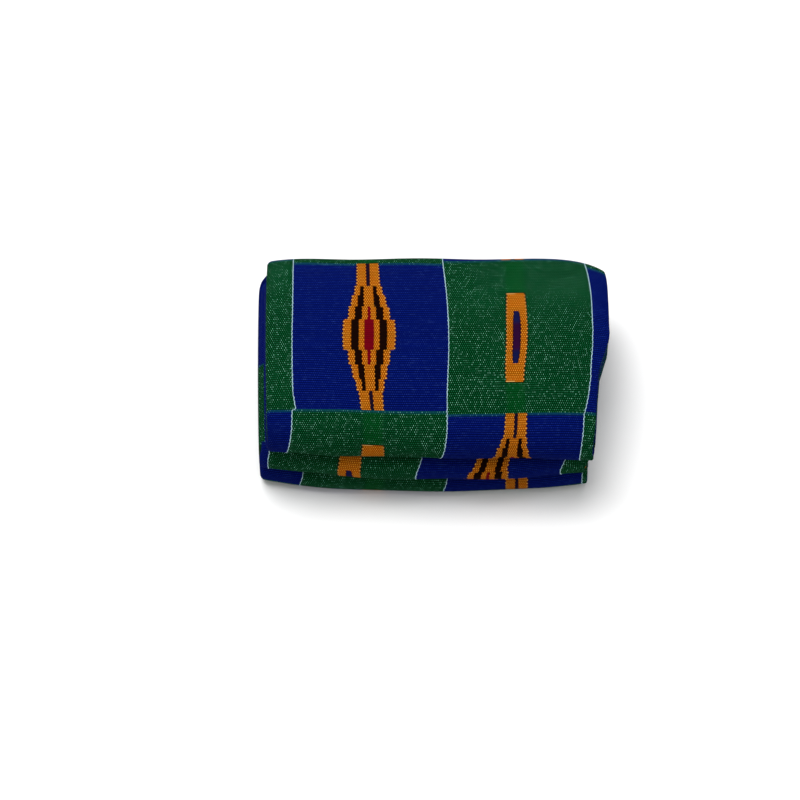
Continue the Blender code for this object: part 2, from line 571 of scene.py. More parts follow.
        # The joint's brighter beads are painted sheen, as on the blue.
        joint = tree.mix(sheen_dot * bright, self.teal, self.teal_bead_sheen)
        in_joint = 1.0 - point.step.ramp(self.teal_reach - self.teal_fade, self.teal_reach)
        ground = tree.mix(in_joint * self.teal_share, tree.mix(point.green, blue, green), joint)
        return ground, sparkle * point.green

    def _orange(self, yarns: Yarns) -> Value:
        """Colour the orange of the motifs, with painted highlights on its beads and painted shade between
        them.

        Args:
            yarns: The threads at each point.

        Returns:
            The colour.
        """
        tree = yarns.tree
        redder = (yarns.pick_tone + yarns.streak) * self.red_orange_share
        # Painted light and shade: amber highlights on the bead crests, ginger shade between the beads.
        amber_highlight = yarns.bead.ramp(*self.amber_highlight_beads) * yarns.chance.between(*self.amber_highlight_share)
        orange = tree.mix(redder, self.orange, self.red_orange)
        orange = tree.mix(yarns.bead.ramp(*self.ginger_shade_beads) * self.ginger_shade_share, orange, self.ginger_shade)
        return yarns.lit(tree.mix(amber_highlight, orange, self.amber_highlight), self.orange_tone)

    def _edged(self, ground: Value, motif: Value, inside: Value, point: WeavePoint) -> Value:
        """Set a motif on the ground, with pale thread tips at its edge and a thin dark outline.

        Args:
            ground: The colour round the motif.
            motif: The motif's own colour.
            inside: How far the point lies inside the motif's edge, and below 0 outside it.
            point: The point of the weave.

        Returns:
            The colour of both.
        """
        yarns = point.yarns
        tree = yarns.tree
        longer = (point.offset * yarns.side).below(0.0)
        tips = inside.below(self.tip_reach) * longer * yarns.weft.ramp(*self.tip_picks)
        motif = tree.mix(tips * self.tip_share, motif, self.tip)
        outlined = tree.mix(inside.above(-self.outline) * self.outline_share, ground, self.black)
        return tree.mix(inside.above(0.0), outlined, motif)

    def _spindle(self, ground: Value, point: WeavePoint) -> Value:
        """Colour a blue block, with its stepped spindle.

        Args:
            ground: The colour round the spindle.
            point: The point of the weave.

        Returns:
            The colour.
        """
        yarns = point.yarns
        tree = yarns.tree
        rows = self.pattern.spindle
        widest = rows[0].half_width
        longest = rows[-1].place * self.chart_margin
        outline: list[tuple[float, Colour]] = []
        middle: list[tuple[float, Colour]] = []
        for row in rows:
            half_width, bar_from, bar_to, red, gap = (size / widest for size in row[1:])
            outline.append((row.place / longest, colour(half_width, bar_from, bar_to)))
            middle.append((row.place / longest, colour(red, gap, 0.0)))
        place = {"Fac": (point.step - self.pattern.spindle_middle).size() / longest}
        half_width, bar_from, bar_to = tree.node("ShaderNodeValToRGB", {"stops": outline}, place).parts()
        red, gap, _ = tree.node("ShaderNodeValToRGB", {"stops": middle}, place).parts()

        reach = point.offset.size() / widest
        motif = tree.mix(reach.above(bar_from) * reach.below(bar_to), self._orange(yarns), self.black)
        motif = tree.mix(reach.below(red), motif, yarns.lit(self.red, self.red_tone))
        motif = tree.mix(reach.below(gap), motif, self.gap)
        return self._edged(ground, motif, half_width * widest - point.toothed.size(), point)

    def _upright(self, ground: Value, point: WeavePoint) -> Value:
        """Colour a green block, with its upright bar and the lens in it.

        Args:
            ground: The colour round the bar.
            point: The point of the weave.

        Returns:
            The colour.
        """
        yarns = point.yarns
        tree = yarns.tree
        pattern = self.pattern
        reach = point.offset.size()
        lens_middle = (pattern.lens_from + pattern.lens_to) / 2
        lens_share = ((point.step - lens_middle) / (pattern.lens_to - lens_middle)).size()
        slim = lens_share * lens_share * lens_share
        lens_edge = (1.0 - slim) * pattern.lens_barrel + pattern.lens_half_width
        lens = tree.mix(lens_share.ramp(*self.lens_change), self.violet, self.navy)
        lens = tree.mix(reach.above(lens_edge - self.outline) * self.lens_outline_share, lens, self.black)
        motif = tree.mix(lens_share.below(1.0) * reach.below(lens_edge), self._orange(yarns), lens)

        middle = (pattern.upright_from + pattern.upright_to) / 2
        half_length = pattern.upright_to - middle
        share = (point.step - middle) / half_length
        half_width = point.odd.between(pattern.even_upright_half_width, pattern.odd_upright_half_width)
        half_width = half_width + (1.0 - share * share) * pattern.upright_barrel
        from_end = (1.0 - share.size()) * half_length
        inside = from_end.math("MINIMUM", from_end, half_width - point.toothed.size())
        return self._edged(ground, motif, inside, point)


@dataclass(frozen=True)
class MottledFinish:
    """A plain finish, whose shade changes a little from place to place."""

    name: str
    shade: Colour
    roughness: float
    gloss: float
    scale: float
    detail: float
    tones: Pair

    def material(self) -> bpy.types.Material:
        """Build the material.

        Returns:
            The material.
        """
        tree = MaterialTree(self.name)
        mottle = tree.noise(tree.node("ShaderNodeTexCoord").output("Object"), self.scale, self.detail)
        shade = tree.scaled(self.shade, mottle.between(*self.tones))
        plain = {"Roughness": self.roughness, "Specular IOR Level": self.gloss}
        return tree.finish({"Base Color": shade, **plain})


@dataclass(frozen=True)
class StitchThread(MottledFinish):
    """The finish of the pale cotton thread that joins the strips."""

    name: str = "joining thread"
    shade: Colour = colour(0.3300, 0.4900, 0.5500)
    roughness: float = 0.7
    gloss: float = 0.2
    scale: float = 900.0
    detail: float = 1.0
    tones: Pair = (0.75, 1.25)


@dataclass(frozen=True)
class PaleFloor(MottledFinish):
    """The finish of the floor."""

    name: str = "pale floor"
    shade: Colour = colour(0.86, 0.86, 0.86)
    roughness: float = 0.9
    gloss: float = 0.0
    scale: float = 1.5
    detail: float = 2.0
    tones: Pair = (0.99, 1.01)


# The folded sheet

# What the mesh tells the weave, as vectors: the strip's number, the place across and the place along the
# cloth; how far the weaving has got in even and odd strips, and how far the picks are apart, 1 on the flat
# and less inside a fold; how far the motifs of even and odd strips are off the middle.
WEAVE_PLACE = "weave place"
BLOCK_PLACE = "block place"
MOTIF_SHIFT = "motif shift"


class End(IntEnum):
    """An end of the flat runs of a folded path, as the sign of its places."""

    LOW = -1
    HIGH = 1

    def other(self) -> End:
        """Return the opposite end."""
        return End(-self)


class Lip(NamedTuple):
    """Where layers turn back: its middle level, its end, how far it stays back, its number of layers."""

    middle: float
    end: End
    set_in: float
    layers: int


@dataclass
class Stations:
    """Places along a folded path, as arrays with one item for each station.

    The length along the path is that on the side at this offset from its middle line. Stations in a turn
    have its number and no level, and those on a level have no turn: -1 stands for none.
    """

    place: np.ndarray
    height: np.ndarray
    normal_place: np.ndarray
    normal_height: np.ndarray
    level: np.ndarray
    turn: np.ndarray
    offset: float

    def __post_init__(self) -> None:
        """Measure the length of the path to each station."""
        place = self.place + self.offset * self.normal_place
        height = self.height + self.offset * self.normal_height
        self.length = running_total(np.hypot(np.diff(place), np.diff(height)))


@dataclass(frozen=True)
class FoldPath:
    """The way of a folded sheet: flat runs, joined by half turns.

    The runs lie between -reach and reach, one pitch apart in height, and level 0 is the top one. The
    edges_in say how far the two free edges stay back from the reach, and run_in how far the stations do.
    """

    order: tuple[int, ...]
    lips: tuple[Lip, ...]
    first_end: End
    reach: float
    pitch: float
    edges_in: Pair
    run_in: float
    run_places: int
    top_run_places: int
    turn_steps: int
    extra_top_places: tuple[float, ...] = ()

    def stations(self, offset: float) -> Stations:
        """Follow the path.

        Args:
            offset: The side on which the length is measured, from the middle line.

        Returns:
            The stations from one free edge to the other.
        """
        rows: list[np.ndarray] = []
        end = self.first_end
        start = -end * (self.reach - self.edges_in[0])
        for number, (level, following) in enumerate(zip(self.order, self.order[1:])):
            middle = (level + following) / 2
            lip = next(lip for lip in self.lips if lip.middle == middle and lip.end == end)
            stop = end * (self.reach - lip.set_in - lip.layers / 2 * self.pitch)
            rows.append(self._run(start, stop, end, level))
            rows.append(self._turn(stop, end, level, following, number))
            start = stop
            end = end.other()
        rows.append(self._run(start, end * (self.reach - self.edges_in[1]), end, self.order[-1]))
        return Stations(*np.concatenate(rows).T, offset)

    def _height(self, level: int) -> float:
        """Return a level's height, from the middle of the stack."""
        return ((len(self.order) - 1) / 2 - level) * self.pitch

    def _run(self, start: float, stop: float, end: End, level: int) -> np.ndarray:
        """Place the stations of a flat run, closer together near its ends.

        Args:
            start: The place where the run starts.
            stop: The place where it stops.
            end: The end that it goes to.
            level: Its level.

        Returns:
            The stations, one row each.
        """
        low, high = sorted((start, stop))
        count = self.run_places if level else self.top_run_places
        spread = (self.reach - self.run_in) * np.sin(np.linspace(-math.pi / 2, math.pi / 2, count))
        if level == 0:
            spread = np.union1d(spread, self.extra_top_places)
        inside = spread[(spread > low + MM) & (spread < high - MM)][::end]
        places = np.concatenate([[start], inside, [stop]])
        ones = np.ones_like(places)
        return np.stack([places, self._height(level) * ones, 0 * ones, end * ones, level * ones, -ones], 1)

    def _turn(self, place: float, end: End, level: int, following: int, number: int) -> np.ndarray:
        """Place the stations inside a half turn, between the runs that it joins.

        Args:
            place: The place where the turn starts and stops.
            end: The end at which it lies.
            level: The level that it comes from.
            following: The level that it goes to.
            number: Its number along the path.

        Returns:
            The stations, one row each.
        """
        rise = (level - following) * self.pitch
        radius = abs(rise) / 2
        upwards = math.copysign(1.0, rise)
        angle = math.pi * np.arange(1, self.turn_steps) / self.turn_steps
        outward = end * np.sin(angle)
        away = -upwards * np.cos(angle)
        facing = -end * upwards
        ones = np.ones_like(angle)
        height = self._height(level) + rise / 2 + radius * away
        return np.stack(
            [place + radius * outward, height, facing * outward, facing * away, -ones, number * ones], 1
        )


@dataclass(frozen=True)
class Settling:
    """How the square stack settles. A fall is the share of its height that the top loses to an edge."""

    half_width: float = 0.1140
    half_depth: float = 0.0765
    height: float = 0.0790
    fall_to_ends: float = 0.19
    fall_to_left: float = 0.02
    fall_to_right: float = 0.06
    side_fall_power: int = 6
    front_corner_draw: float = 0.120
    front_corner_power: float = 2.5
    front_draw_at_right: float = 0.75
    front_draw_at_top: float = 0.25
    front_top: Pair = (0.55, 0.80)
    back_left_draw: float = 0.020
    back_right_draw: float = 0.090
    back_corner_power: int = 10
    end_draw_at_left: float = 0.004
    end_draw_at_right: float = 0.022
    end_draw_power: int = 10
    lip_set_back: float = 0.0066
    lip_set_back_to_right: float = 0.0033
    lip_set_back_power: float = 1.3
    lip_depth_power: int = 4
    right_step: float = 0.060
    right_step_reach: Pair = (-0.15, 0.35)
    right_taper: float = 0.020
    right_taper_at_top: float = 0.035
    right_taper_start: float = 0.10
    right_spread: float = 0.030
    right_spread_start: float = 0.20
    left_spread: float = 0.026
    top_draw: float = 0.031
    top_shift: float = 0.0053
    top_shift_reach: Pair = (0.50, 0.78)
    wave_length: float = 0.085
    lip_wave: float = 0.0006
    lip_wave_lean: float = 9.0
    lip_wave_rise: float = 8.0
    top_wave: float = 0.0004
    top_wave_start: float = 1.0
    top_wave_lean: float = 5.0
    top_waves_across: float = 1.3
    top_waves_along: float = 1.1

    def settle(self, points: np.ndarray) -> np.ndarray:
        """Move points of the square stack to where they lie in the settled bundle.

        Args:
            points: The points, with x, y and z along the last axis.

        Returns:
            The moved points, in the same way.
        """
        x, y, z = np.moveaxis(points, -1, 0)
        across = x / self.half_width
        along = y / self.half_depth
        up = z / self.height
        side_fall = np.where(across > 0, self.fall_to_right, self.fall_to_left)
        settled_z = z * (1 - self.fall_to_ends * along**2 - side_fall * across**self.side_fall_power)
        settled_y = self._depth(y, across, along, up)
        settled_x = self._width(x, across, along, up)

        turn = 2 * math.pi / self.wave_length
        at_ends = along**self.lip_depth_power * np.sign(along) * np.clip(self.lip_wave_rise * up, 0, 1)
        settled_y = settled_y + self.lip_wave * at_ends * np.sin(turn * x + self.lip_wave_lean * up)
        hollow = np.sin(self.top_waves_across * turn * x + self.top_wave_start)
        hollow = hollow * np.cos(self.top_waves_along * turn * y + self.top_wave_lean * up)
        settled_z = settled_z + self.top_wave * hollow * up**2
        return np.stack([settled_x, settled_y, settled_z], -1)

    def _depth(self, y: np.ndarray, across: np.ndarray, along: np.ndarray, up: np.ndarray) -> np.ndarray:
        """Settle points to the front and back.

        Args:
            y: Their places in the stack.
            across: Their places as shares of the half width.
            along: Their places as shares of the half depth.
            up: Their heights as shares of the height.

        Returns:
            The settled y of each.
        """
        right = across > 0
        draw = self.front_corner_draw * np.where(right, self.front_draw_at_right, 1.0)
        draw = draw * (1 - (1 - self.front_draw_at_top) * self._smooth_step(up, self.front_top))
        front_draw = draw * np.abs(across) ** self.front_corner_power
        back_draw = np.where(right, self.back_right_draw, self.back_left_draw)
        back_draw = back_draw * np.abs(across) ** self.back_corner_power
        set_back = self.lip_set_back - self.lip_set_back_to_right * across
        set_back = set_back * np.maximum(up, 0) ** self.lip_set_back_power * along**self.lip_depth_power
        front = along < 0
        return y * (1 - np.where(front, front_draw, back_draw)) + np.where(front, set_back, 0)

    def _width(self, x: np.ndarray, across: np.ndarray, along: np.ndarray, up: np.ndarray) -> np.ndarray:
        """Settle points to the left and right.

        Args:
            x: Their places in the stack.
            across: Their places as shares of the half width.
            along: Their places as shares of the half depth.
            up: Their heights as shares of the height.

        Returns:
            The settled x of each.
        """
        ends = along**self.end_draw_power
        taper = self.right_taper + self.right_taper_at_top * up
        at_right = self.right_spread * np.maximum(along - self.right_spread_start, 0)
        at_right = at_right - self.right_step * self._smooth_step(-along, self.right_step_reach)
        at_right = at_right - taper * np.maximum(self.right_taper_start - along, 0)
        at_right = at_right - self.end_draw_at_right * ends
        at_left = self.left_spread * along - self.end_draw_at_left * ends
        shift = self.top_shift * self._smooth_step(up, self.top_shift_reach)
        return x * (1 + np.where(across > 0, at_right, at_left) - self.top_draw * up**2) + shift

    @staticmethod
    def _smooth_step(value: np.ndarray, reach: Pair) -> np.ndarray:
        """Return 0 below the reach, 1 above it, and a smooth rise between."""
        share = np.clip((value - reach[0]) / (reach[1] - reach[0]), 0, 1)
        return share**2 * (3 - 2 * share)


class SeamRow(NamedTuple):
    """Where three seams and the motifs between them lie across the cloth, at a length of it, in mm."""

    length: float
    left_seam: float
    even_motif: float
    middle_seam: float
    odd_motif: float
    right_seam: float


class BlockRow(NamedTuple):
    """How far the blocks of even and odd strips have got, at a length of the cloth, in mm."""

    length: float
    even: float
    odd: float


@dataclass(frozen=True)
class StripLay:
    """How the strips lie in the cloth. By hand, seams wander a little and blocks aren't quite even."""

    left_seam_number: int = 16
    seams_beyond: int = 16
    hidden_width: float = 91.0
    seam_rows: tuple[SeamRow, ...] = (
        SeamRow(0.0, 478.0, 528.0, 577.0, 627.0, 676.0),
        SeamRow(148.0, 481.5, 530.5, 578.6, 631.4, 679.0),
        SeamRow(157.0, 484.0, 532.7, 581.1, 631.2, 679.0),
        SeamRow(180.0, 484.0, 533.0, 581.0, 629.0, 677.0),
        SeamRow(430.0, 460.5, 515.0, 558.7, 610.7, 664.5),
        SeamRow(447.0, 459.0, 512.8, 559.9, 611.0, 663.9),
        SeamRow(470.0, 461.0, 512.0, 560.5, 611.0, 661.0),
        SeamRow(720.0, 467.2, 524.6, 569.7, 622.6, 672.4),
        SeamRow(733.0, 469.3, 524.6, 573.0, 623.0, 673.8),
        SeamRow(744.0, 470.8, 524.7, 574.3, 624.2, 674.1),
        SeamRow(757.8, 471.6, 524.6, 574.3, 624.1, 673.6),
        SeamRow(758.5, 474.0, 524.6, 574.3, 624.0, 674.1),
        SeamRow(770.0, 472.3, 523.6, 574.3, 623.4, 676.1),
        SeamRow(783.0, 472.1, 523.1, 574.9, 622.8, 677.1),
        SeamRow(795.0, 472.0, 522.7, 575.5, 622.2, 674.9),
        SeamRow(813.0, 472.0, 523.0, 575.5, 620.6, 671.0),
        SeamRow(830.0, 472.3, 523.0, 575.1, 620.5, 671.0),
        SeamRow(848.0, 472.5, 522.6, 574.3, 620.3, 670.7),
        SeamRow(877.0, 472.3, 522.0, 572.4, 620.0, 668.6),
        SeamRow(1000.0, 473.0, 522.5, 573.0, 621.0, 669.0),
    )
    block_rows: tuple[BlockRow, ...] = (
        BlockRow(0.0, 797.0, 797.0),
        BlockRow(152.0, 664.0, 666.0),
        BlockRow(437.0, 375.2, 373.7),
        BlockRow(450.0, 363.0, 360.7),
        BlockRow(454.0, 359.8, 336.0),
        BlockRow(513.0, 312.0, 224.0),
        BlockRow(720.0, 149.0, 152.0),
        BlockRow(733.2, 135.7, 138.1),
        BlockRow(740.0, 128.5, 130.0),
        BlockRow(756.7, 113.5, 112.0),
        BlockRow(758.3, 112.0, 110.5),
        BlockRow(778.0, 92.4, 90.5),
        BlockRow(800.0, 70.4, 69.0),
        BlockRow(823.0, 47.4, 46.5),
        BlockRow(846.0, 24.4, 24.0),
        BlockRow(853.0, 17.4, 17.8),
        BlockRow(875.0, 0.0, 3.2),
        BlockRow(905.0, -24.0, -21.7),
        BlockRow(1150.0, -231.0, -231.0),
        BlockRow(1190.0, -271.0, -271.0),
        BlockRow(1450.0, -531.0, -531.0),
        BlockRow(1740.0, -791.0, -791.0),
    )

    def strip_numbers(self, across: np.ndarray, lengths: np.ndarray) -> np.ndarray:
        """Find the strip that each point of the cloth lies in.

        Args:
            across: The columns' places across the cloth, in mm.
            lengths: The rows' places along it, in mm.

        Returns:
            The strip's number plus the share of its width, by row and column.
        """
        table = np.array(self.seam_rows)
        shown = read_table(lengths, table[:, 0], table[:, 1::2])
        beyond = self.hidden_width * np.arange(1, self.seams_beyond + 1)
        seams = np.hstack([shown[:, :1] - beyond[::-1], shown, shown[:, -1:] + beyond])
        numbers = np.arange(seams.shape[1]) + self.left_seam_number - self.seams_beyond
        return np.stack([np.interp(across, row, numbers) for row in seams])

    def block_places(self, lengths: np.ndarray) -> np.ndarray:
        """Return how far the blocks of even and odd strips have got at each length, in mm."""
        table = np.array(self.block_rows)
        return read_table(lengths, table[:, 0], table[:, 1:])

    def motif_shifts(self, lengths: np.ndarray) -> np.ndarray:
        """Return how far the motifs of even and odd strips are off their strips' middles, in mm."""
        table = np.array(self.seam_rows)
        seams = table[:, 1::2]
        motifs = table[:, 2::2]
        return read_table(lengths, table[:, 0], motifs - (seams[:, :-1] + seams[:, 1:]) / 2)


class Room(NamedTuple):
    """How much room a length of the cloth gets in the flat layout.

    A level or a turn gets what is given under its number, and otherwise the room of all the rest.
    """

    levels: dict[int, float]
    other_levels: float
    turns: dict[int, float]
    other_turns: float

    def shares(self, stations: Stations) -> np.ndarray:
        """Lay out the stations of a path.

        Args:
            stations: The stations.

        Returns:
            How far along each lies, from 0 to 1 and always rising.
        """
        in_turn = stations.turn >= 0
        on_levels = [self.levels.get(int(number), self.other_levels) for number in stations.level]
        in_turns = [self.turns.get(int(number), self.other_turns) for number in stations.turn]
        room = np.where(in_turn, in_turns, on_levels)
        reached = running_total(np.where(in_turn[1:], room[1:], room[:-1]) * np.diff(stations.length))
        return reached / reached[-1]


@dataclass
class FoldedCloth:
    """The whole folded sheet: its fold, its settled mesh, and the place of the weave on it.

    The top has one more row of vertices where its left seam jumps, so that the jump is sharp. In the flat
    layout, a band is where its places start and how far they go.
    """

    pattern: StripPattern = StripPattern()
    settling: Settling = Settling()
    lay: StripLay = StripLay()
    thickness: float = 0.00095
    seam_jump_place: float = -0.04897
    ply_order: tuple[int, ...] = (2, 5, 0, 1, 4, 3)
    ply_lips: tuple[Lip, ...] = (
        Lip(3.5, End.HIGH, 0.0005, 4),
        Lip(2.5, End.LOW, 0.0, 6),
        Lip(0.5, End.HIGH, 0.0003, 2),
    )
    level_order: tuple[int, ...] = (11, 8, 7, 4, 3, 0, 1, 2, 5, 6, 9, 10)
    level_lips: tuple[Lip, ...] = (
        Lip(0.5, End.HIGH, 0.0010, 2),
        Lip(1.5, End.LOW, 0.0020, 4),
        Lip(3.5, End.HIGH, 0.0, 4),
        Lip(5.5, End.LOW, 0.0, 4),
        Lip(7.5, End.HIGH, 0.0030, 4),
        Lip(9.5, End.LOW, 0.0040, 4),
    )
    column_room: Room = Room(levels={0: 3.4}, other_levels=0.08, turns={}, other_turns=3.6)
    row_room: Room = Room(
        levels={0: 2.6, 11: 0.45},
        other_levels=0.09,
        turns={0: 2.2, 2: 2.2, 4: 2.4, 5: 1.6, 7: 1.3, 9: 1.3},
        other_turns=0.2,
    )
    across_band: Pair = (0.004, 0.992)
    outer_band: Pair = (0.042, 0.954)
    inner_band: Pair = (0.004, 0.030)
    rim_band: float = 0.002

    def __post_init__(self) -> None:
        """Fold the sheet."""
        self.level_pitch = self.settling.height / len(self.level_order)
        self.ply_pitch = self.level_pitch / len(self.ply_order)
        ply_path = FoldPath(
            order=self.ply_order,
            lips=self.ply_lips,
            first_end=End.HIGH,
            reach=self.settling.half_width,
            pitch=self.ply_pitch,
            edges_in=(0.0060, 0.0055),
            run_in=0.002,
            run_places=15,
            top_run_places=41,
            turn_steps=7,
        )
        level_path = FoldPath(
            order=self.level_order,
            lips=self.level_lips,
            first_end=End.LOW,
            reach=self.settling.half_depth,
            pitch=self.level_pitch,
            edges_in=(0.0080, 0.0050),
            run_in=0.006,
            run_places=13,
            top_run_places=45,
            turn_steps=12,
            extra_top_places=(self.seam_jump_place,),
        )
        self.columns = ply_path.stations(self.thickness / 2)
        self.rows = level_path.stations((len(self.ply_order) * self.ply_pitch) / 2)
        self.outer = self.surface(self.thickness / 2)
        self.inner = self.surface(-self.thickness / 2)
        low = np.minimum(self.outer.min((0, 1)), self.inner.min((0, 1)))
        high = np.maximum(self.outer.max((0, 1)), self.inner.max((0, 1)))
        self.middle = np.array([(low[0] + high[0]) / 2, (low[1] + high[1]) / 2, low[2]])
        self.strip = self.lay.strip_numbers(self.columns.length / MM, self.rows.length / MM)

    def surface(self, offset: float) -> np.ndarray:
        """Lay one face of the sheet along both folds, and settle it.

        Args:
            offset: How far the face lies from the middle of the sheet's thickness.

        Returns:
            The face's points, by row and column.
        """
        columns = self.columns
        rows = self.rows
        x = columns.place + offset * columns.normal_place
        lift = columns.height + offset * columns.normal_height
        y = rows.place[:, None] + lift * rows.normal_place[:, None]
        z = rows.height[:, None] + lift * rows.normal_height[:, None]
        z = z + (self.settling.height - self.ply_pitch + self.thickness) / 2
        return self.settling.settle(np.stack([np.broadcast_to(x, y.shape), y, z], -1))

    def flat_size(self) -> tuple[float, float]:
        """Return the width and length to which the sheet is cut."""
        return float(self.columns.length[-1]), float(self.rows.length[-1])

    def build(self) -> bpy.types.Object:
        """Build the sheet as one closed mesh, with the weave's places and a flat layout, and dress it.

        Returns:
            The sheet.
        """
        rows, columns = self.outer.shape[:2]
        outer = np.arange(rows * columns).reshape(rows, columns)
        inner = outer + rows * columns
        rim = rim_of(outer)
        rim_inner = rim_of(inner)
        edge = np.stack([np.roll(rim, -1), rim, rim_inner, np.roll(rim_inner, -1)], 1)
        faces = np.concatenate([grid_faces(outer), grid_faces(inner)[:, ::-1], edge])
        vertices = np.concatenate([self.outer.reshape(-1, 3), self.inner.reshape(-1, 3)]) - self.middle
        made = new_object("folded_kente", vertices, faces)

        self._mark_weave(made.data)
        self._lay_out(made.data, outer)
        weave = KenteWeave(pattern=self.pattern, cloth_length=self.flat_size()[1] / MM)
        made.data.materials.append(weave.material())
        LOG.info("sheet: %d rows, %d columns, flat size %.3f by %.3f m", rows, columns, *self.flat_size())
        return made

    def _mark_weave(self, mesh: bpy.types.Mesh) -> None:
        """Tell each vertex of both faces where it lies in the weave.

        Args:
            mesh: The sheet's mesh.
        """
        lengths = self.rows.length / MM
        across, along = np.meshgrid(self.columns.length / MM, lengths)
        blocks = self.lay.block_places(lengths).T[:, :, None]
        shifts = self.lay.motif_shifts(lengths).T[:, :, None]
        moved = np.diff(self.rows.length)[:, None]
        steps = np.linalg.norm(np.diff(self.outer + self.inner, axis=0), axis=-1) / 2
        # In the tightest turns the length stands still, so there the picks are endlessly far apart.
        steps = np.divide(steps, moved, out=np.full_like(steps, np.inf), where=moved > 0)
        spread = np.concatenate([steps[:1], np.minimum(steps[:-1], steps[1:]), steps[-1:]])
        marks = {
            WEAVE_PLACE: (self.strip, across, along),
            BLOCK_PLACE: (*blocks, spread),
            MOTIF_SHIFT: (*shifts, 0.0),
        }
        for name, parts in marks.items():
            vectors = np.stack([np.broadcast_to(part, self.strip.shape) for part in parts], -1)
            attribute = mesh.attributes.new(name, "FLOAT_VECTOR", "POINT")
            both = np.concatenate([vectors, vectors]).astype(np.float32)
            attribute.data.foreach_set("vector", both.ravel())

    def _lay_out(self, mesh: bpy.types.Mesh, outer: np.ndarray) -> None:
        """Add the flat layout for baking, in which the stretches that show get most of the room.

        Args:
            mesh: The sheet's mesh, with the faces of its outer side, its inner side and its rim in turn.
            outer: The vertex numbers of the outer side, by row and column.
        """
        u = self.across_band[0] + self.across_band[1] * self.column_room.shares(self.columns)
        grid_u, grid_v = np.meshgrid(u, self.row_room.shares(self.rows))
        outer_uv, inner_uv = (
            np.stack([grid_u, start + size * grid_v], -1).reshape(-1, 2)
            for start, size in (self.outer_band, self.inner_band)
        )
        corners = np.empty(len(mesh.loops), dtype=np.int32)
        mesh.loops.foreach_get("vertex_index", corners)
        uv = np.concatenate([outer_uv, inner_uv])[corners]

        # The rim goes round the outer side, as a narrow band.
        rows, columns = outer.shape
        rim_from = 2 * 4 * (rows - 1) * (columns - 1)
        rim = corners[rim_from:]
        near = outer_uv[rim % outer.size]
        away = np.sign(near - (0.5, self.outer_band[0] + self.outer_band[1] / 2)) * self.rim_band
        away[:, 0] *= np.isin(near[:, 0], (u[0], u[-1]))
        away[:, 1] *= np.isin(near[:, 1], outer_uv[[0, -1], 1])
        on_inner = rim >= outer.size
        uv[rim_from:] = near + away * on_inner[:, None]
        layer = mesh.uv_layers.new(name="OFBake")
        layer.data.foreach_set("uv", uv.astype(np.float32).ravel())


